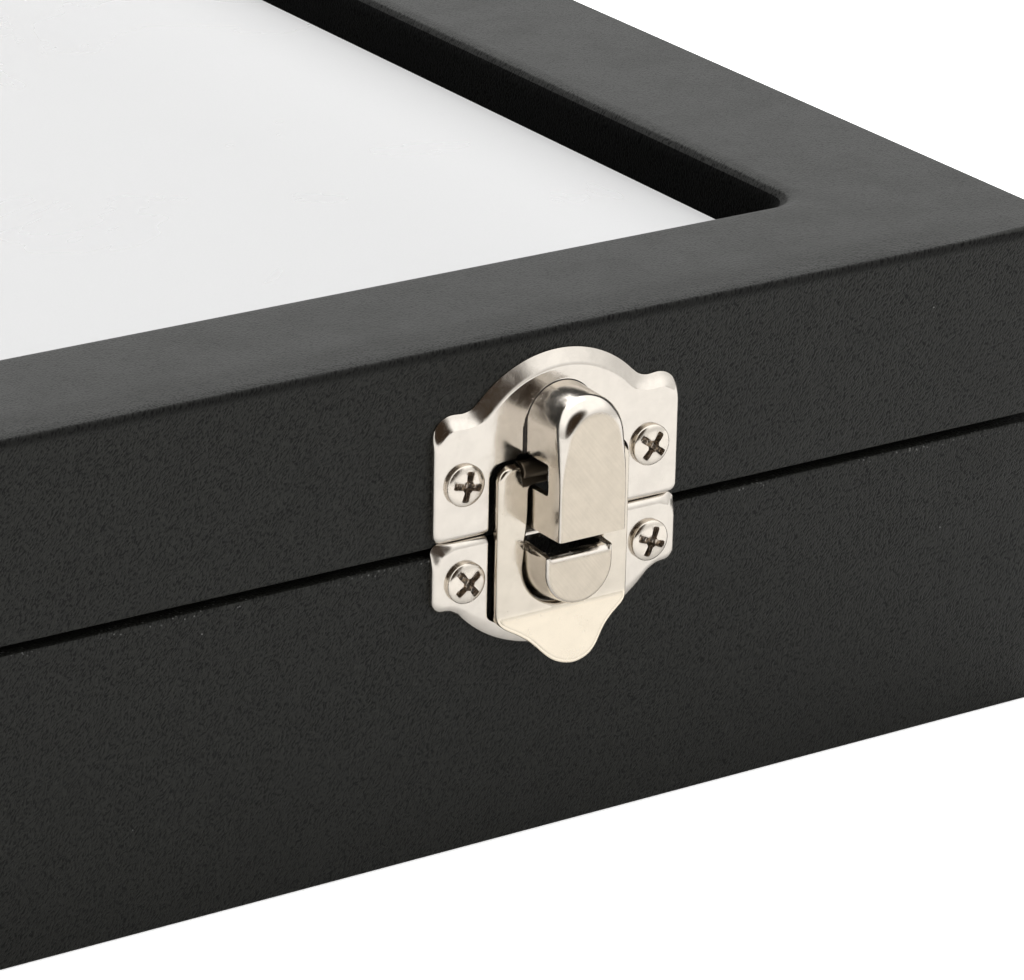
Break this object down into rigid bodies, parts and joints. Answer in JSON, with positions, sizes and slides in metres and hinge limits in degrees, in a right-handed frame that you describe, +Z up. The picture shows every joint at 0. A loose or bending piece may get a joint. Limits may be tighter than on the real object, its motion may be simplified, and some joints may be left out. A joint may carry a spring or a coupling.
{
  "type": "pin display box",
  "caption": "Shallow leatherette-wrapped display case with a hinged glazed lid, a velvet-covered foam pad inside, and hasp latches on the front.",
  "frame": {"origin": "centre of the face the case rests on, midway between its sides and between its front and back faces", "axes": "+X to the right as seen from the front, +Y from the latches towards the hinges, +Z up"},
  "size_m": [0.35, 0.2516, 0.05],
  "materials": {
    "leatherette": "satin, fine pebbled grain",
    "fibreboard": "raw",
    "backing_paper": "matte",
    "velvet": "short pile",
    "foam": "open cell",
    "glass": "clear",
    "nickel_plate": "bright nickel plate",
    "screw_nickel": "bright nickel plate",
    "spring_steel": "plain",
    "hinge_steel": "plain"
  },
  "bodies": {
    "base": {"base_front_board": "fibreboard", "base_back_board": "fibreboard", "base_left_board": "fibreboard", "base_right_board": "fibreboard", "base_bottom_panel": "fibreboard", "base_leather_wrap": "leatherette", "base_underside_sheet": "backing_paper", "base_liner_front": "velvet", "base_liner_back": "velvet", "base_liner_left": "velvet", "base_liner_right": "velvet", "foam_pad": "foam", "velvet_pad_cover": "velvet", "pin_pad": "velvet", "latch_left_base_plate": "nickel_plate", "latch_right_base_plate": "nickel_plate", "latch_left_base_screws": "screw_nickel", "latch_right_base_screws": "screw_nickel", "hinge_left_base_leaf": "nickel_plate", "hinge_right_base_leaf": "nickel_plate", "hinge_left_pin": "hinge_steel", "hinge_right_pin": "hinge_steel", "hinge_left_base_screws": "screw_nickel", "hinge_right_base_screws": "screw_nickel"},
    "lid": {"lid_front_rail": "fibreboard", "lid_back_rail": "fibreboard", "lid_left_rail": "fibreboard", "lid_right_rail": "fibreboard", "lid_leather_wrap": "leatherette", "glass_pane": "glass", "glass_retainer_front": "fibreboard", "glass_retainer_back": "fibreboard", "glass_retainer_left": "fibreboard", "glass_retainer_right": "fibreboard", "lid_velvet_lining": "velvet", "latch_left_lid_plate": "nickel_plate", "latch_right_lid_plate": "nickel_plate", "latch_left_spring": "spring_steel", "latch_right_spring": "spring_steel", "latch_left_lid_screws": "screw_nickel", "latch_right_lid_screws": "screw_nickel", "hinge_left_lid_leaf": "nickel_plate", "hinge_right_lid_leaf": "nickel_plate", "hinge_left_lid_screws": "screw_nickel", "hinge_right_lid_screws": "screw_nickel"},
    "flap_left": {"latch_left_flap": "nickel_plate"},
    "flap_right": {"latch_right_flap": "nickel_plate"}
  },
  "joints": [
    {"name": "lid_hinge", "type": "hinge", "parent": "base", "child": "lid", "pos_m": [0, 0.1217, 0.0304], "axis": [-1, 0, 0], "range_deg": [0, 100]},
    {"name": "left_flap_hinge", "type": "hinge", "parent": "lid", "child": "flap_left", "pos_m": [-0.116, -0.12098, 0.0369], "axis": [-1, 0, 0], "range_deg": [0, 105]},
    {"name": "right_flap_hinge", "type": "hinge", "parent": "lid", "child": "flap_right", "pos_m": [0.116, -0.12098, 0.0369], "axis": [-1, 0, 0], "range_deg": [0, 105]}
  ]
}
